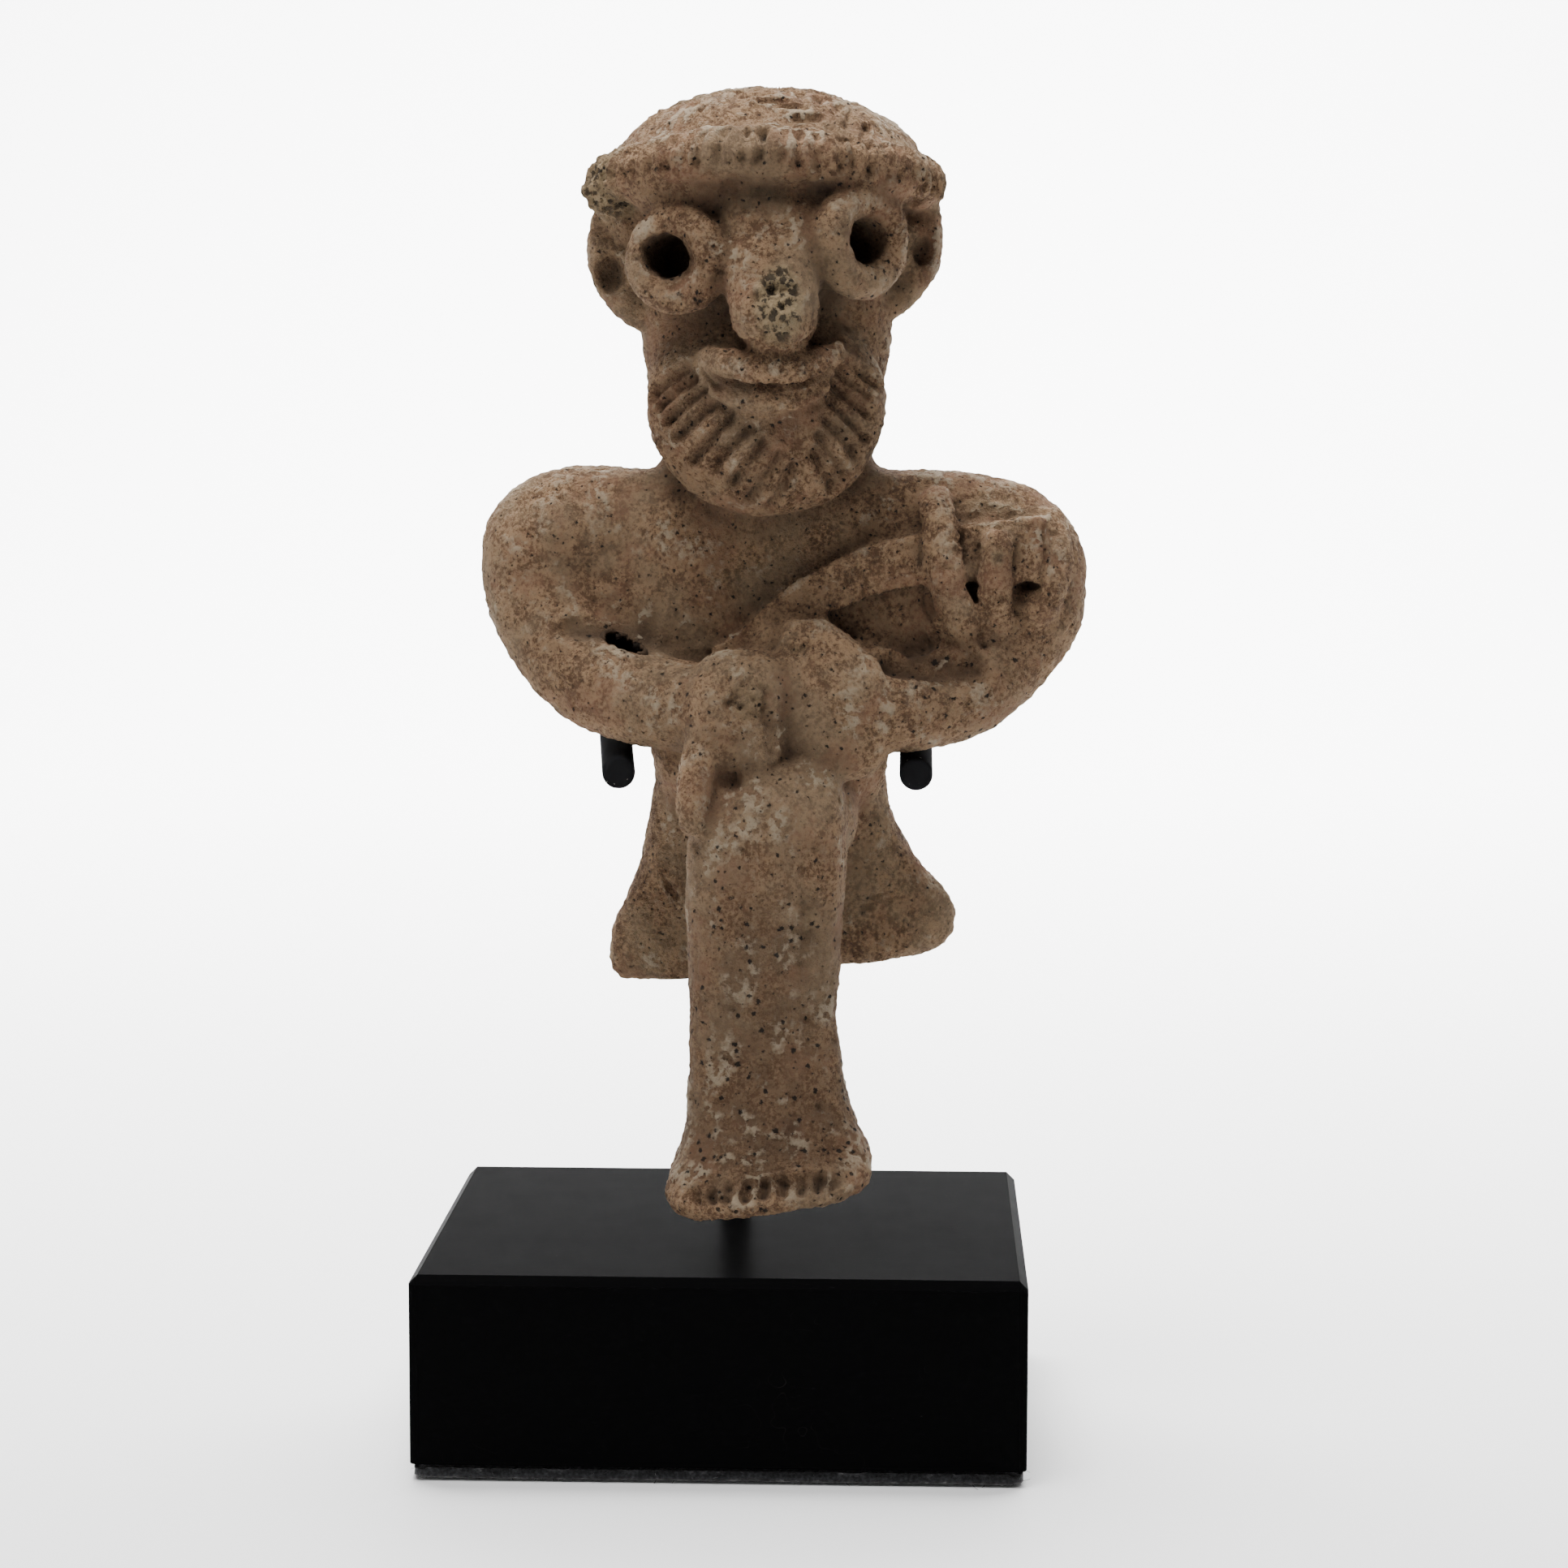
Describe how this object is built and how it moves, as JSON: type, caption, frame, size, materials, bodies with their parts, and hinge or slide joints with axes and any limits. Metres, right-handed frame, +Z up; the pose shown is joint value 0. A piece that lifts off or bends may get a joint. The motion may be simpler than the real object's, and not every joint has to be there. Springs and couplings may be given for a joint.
{
  "type": "seated figure on display stand",
  "caption": "Hand-modelled terracotta seated figure with ringed eyes, combed beard and notched cap, holding an axe, carried over a low black block by a steel post and fork",
  "frame": {"origin": "the middle of the felt pad's underside, where the stand meets the surface under it", "axes": "+Z up, -Y to the figure's front, +X to the viewer's right from the front; the block's sides run along X and Y"},
  "size_m": [0.099, 0.075, 0.2034],
  "materials": {
    "terracotta": "unglazed fired clay, pitted and worn, with pale crust and dark dirt in the hollows",
    "black_lacquer": "satin black paint with fine scratches and dust on its top",
    "grey_felt": "dark grey felt",
    "blackened_steel": "steel rod painted black, chipped at the tips"
  },
  "bodies": {
    "root": {"figure": "terracotta", "display_block": "black_lacquer", "felt_pad": "grey_felt", "support_cradle": "blackened_steel"}
  },
  "joints": []
}
